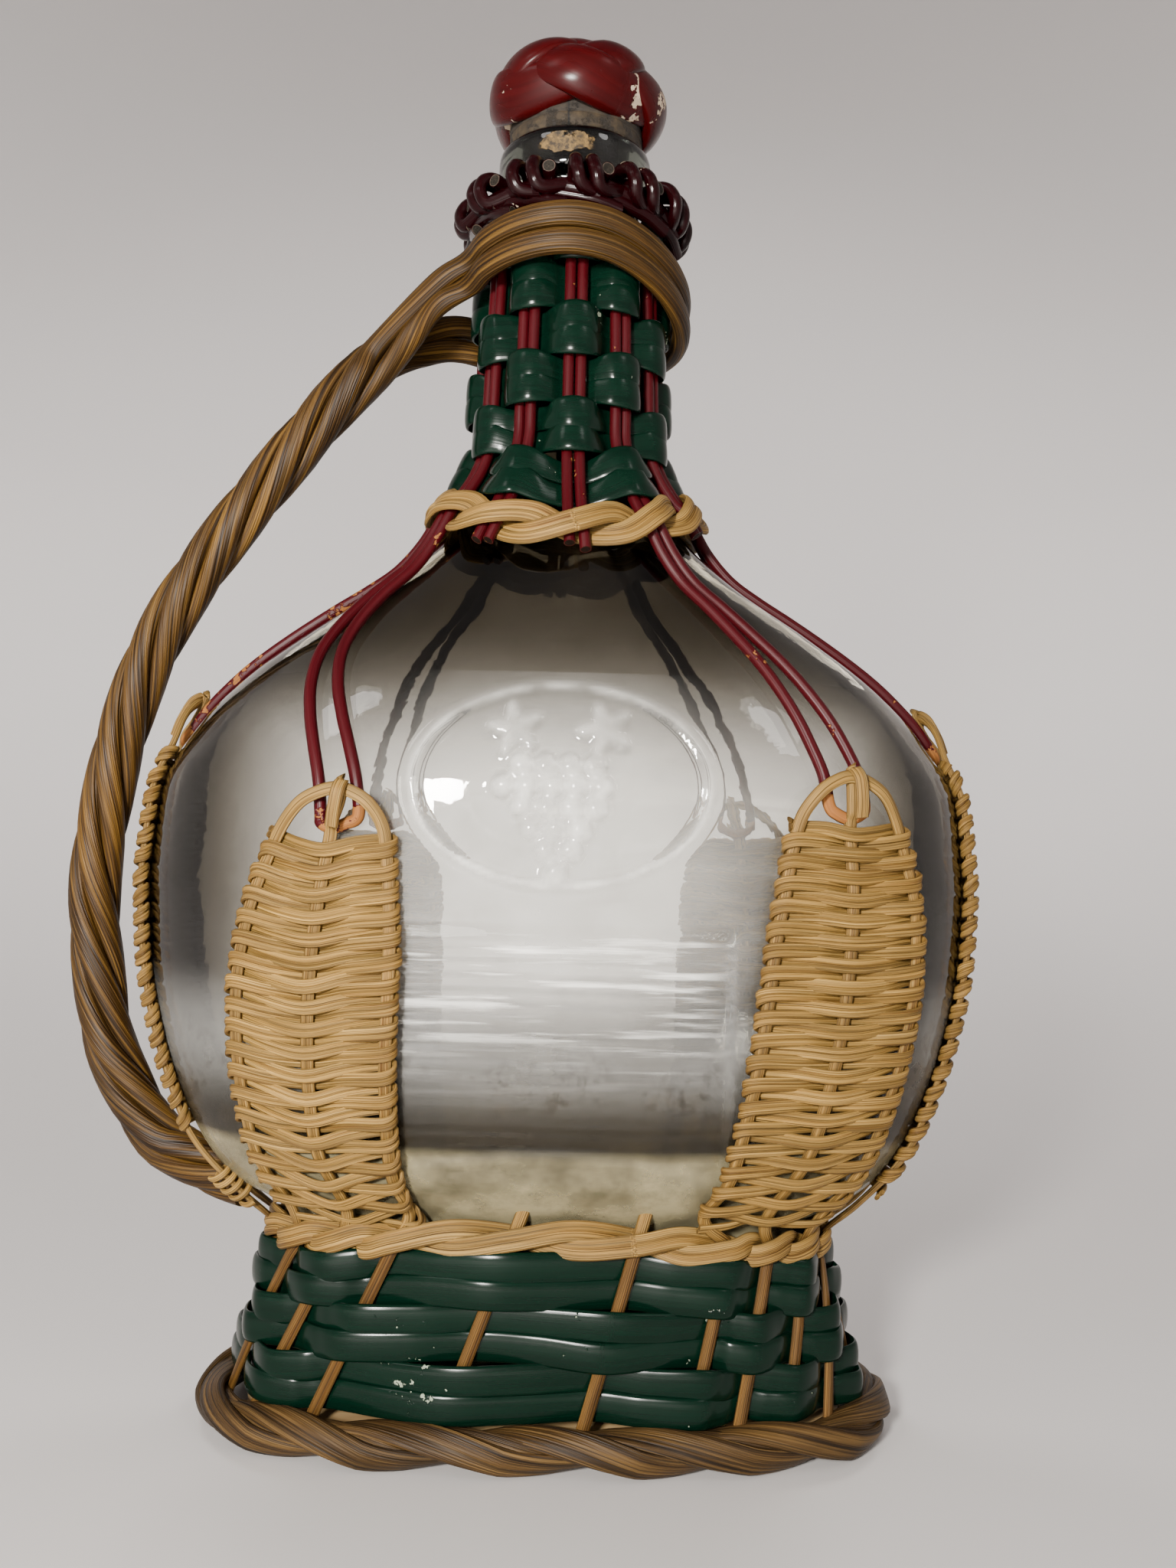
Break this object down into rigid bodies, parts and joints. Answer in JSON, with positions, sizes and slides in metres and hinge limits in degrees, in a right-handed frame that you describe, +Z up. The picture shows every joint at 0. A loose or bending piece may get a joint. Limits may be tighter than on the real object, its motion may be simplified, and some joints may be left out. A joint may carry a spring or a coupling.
{
  "type": "wicker-covered carafe",
  "caption": "Flattened glass carafe in a woven cane foot, held by woven panels and painted stays, with a twisted cane handle on one side and a cork stopper under a braided knob.",
  "frame": {"origin": "centre of the underside of the base board, on the bottle's upright axis", "axes": "+Z up the bottle, front towards -Y, handle on the -X side"},
  "size_m": [0.1942, 0.0895, 0.2918],
  "materials": {
    "clear_glass": "clear, slightly grey, gloss",
    "cork": "matt grey-brown cork",
    "knob_red": "gloss red paint on cane, chipped",
    "red_cane": "satin dark red paint on cane",
    "dark_red_cane": "satin dark red paint on cane, chipped",
    "green_strip": "gloss dark green paint on flat cane",
    "pale_cane": "bare pale cane",
    "brown_cane": "bare honey-brown cane",
    "board_wood": "bare pale wood"
  },
  "bodies": {
    "vessel": {"base_board": "board_wood", "bottle": "clear_glass", "foot_border": "brown_cane", "top_border": "dark_red_cane", "foot_strip_1": "green_strip", "foot_strip_2": "green_strip", "foot_strip_3": "green_strip", "waist_strand_1": "pale_cane", "waist_strand_2": "pale_cane", "stub_stake_1": "pale_cane", "stub_stake_2": "pale_cane", "stub_stake_3": "pale_cane", "stub_stake_4": "pale_cane", "petal_frame_front_left": "pale_cane", "petal_stake_front_left": "pale_cane", "petal_weave_front_left": "pale_cane", "stay_front_left": "red_cane", "petal_frame_front_right": "pale_cane", "petal_stake_front_right": "pale_cane", "petal_weave_front_right": "pale_cane", "stay_front_right": "red_cane", "petal_frame_right": "pale_cane", "petal_stake_right": "pale_cane", "petal_weave_right": "pale_cane", "stay_right": "red_cane", "petal_frame_back_right": "pale_cane", "petal_stake_back_right": "pale_cane", "petal_weave_back_right": "pale_cane", "stay_back_right": "red_cane", "petal_frame_back_left": "pale_cane", "petal_stake_back_left": "pale_cane", "petal_weave_back_left": "pale_cane", "stay_back_left": "red_cane", "petal_frame_left": "pale_cane", "petal_stake_left": "pale_cane", "petal_weave_left": "pale_cane", "stay_left": "red_cane", "neck_canes_01": "red_cane", "neck_canes_03": "red_cane", "neck_canes_05": "red_cane", "neck_canes_07": "red_cane", "neck_canes_09": "red_cane", "neck_canes_12": "red_cane", "neck_strip_1": "green_strip", "neck_strip_2": "green_strip", "neck_strip_3": "green_strip", "neck_strip_4": "green_strip", "neck_strip_5": "green_strip", "neck_strip_6": "green_strip", "neck_ring_strand_1": "pale_cane", "handle_cane_1": "brown_cane", "neck_ring_strand_2": "pale_cane", "handle_cane_2": "brown_cane"},
    "stopper": {"cork": "cork", "knob": "knob_red"}
  },
  "joints": [
    {"name": "stopper_lift", "type": "slide", "parent": "vessel", "child": "stopper", "axis": [0, 0, 1], "range_m": [0, 0.035]}
  ]
}
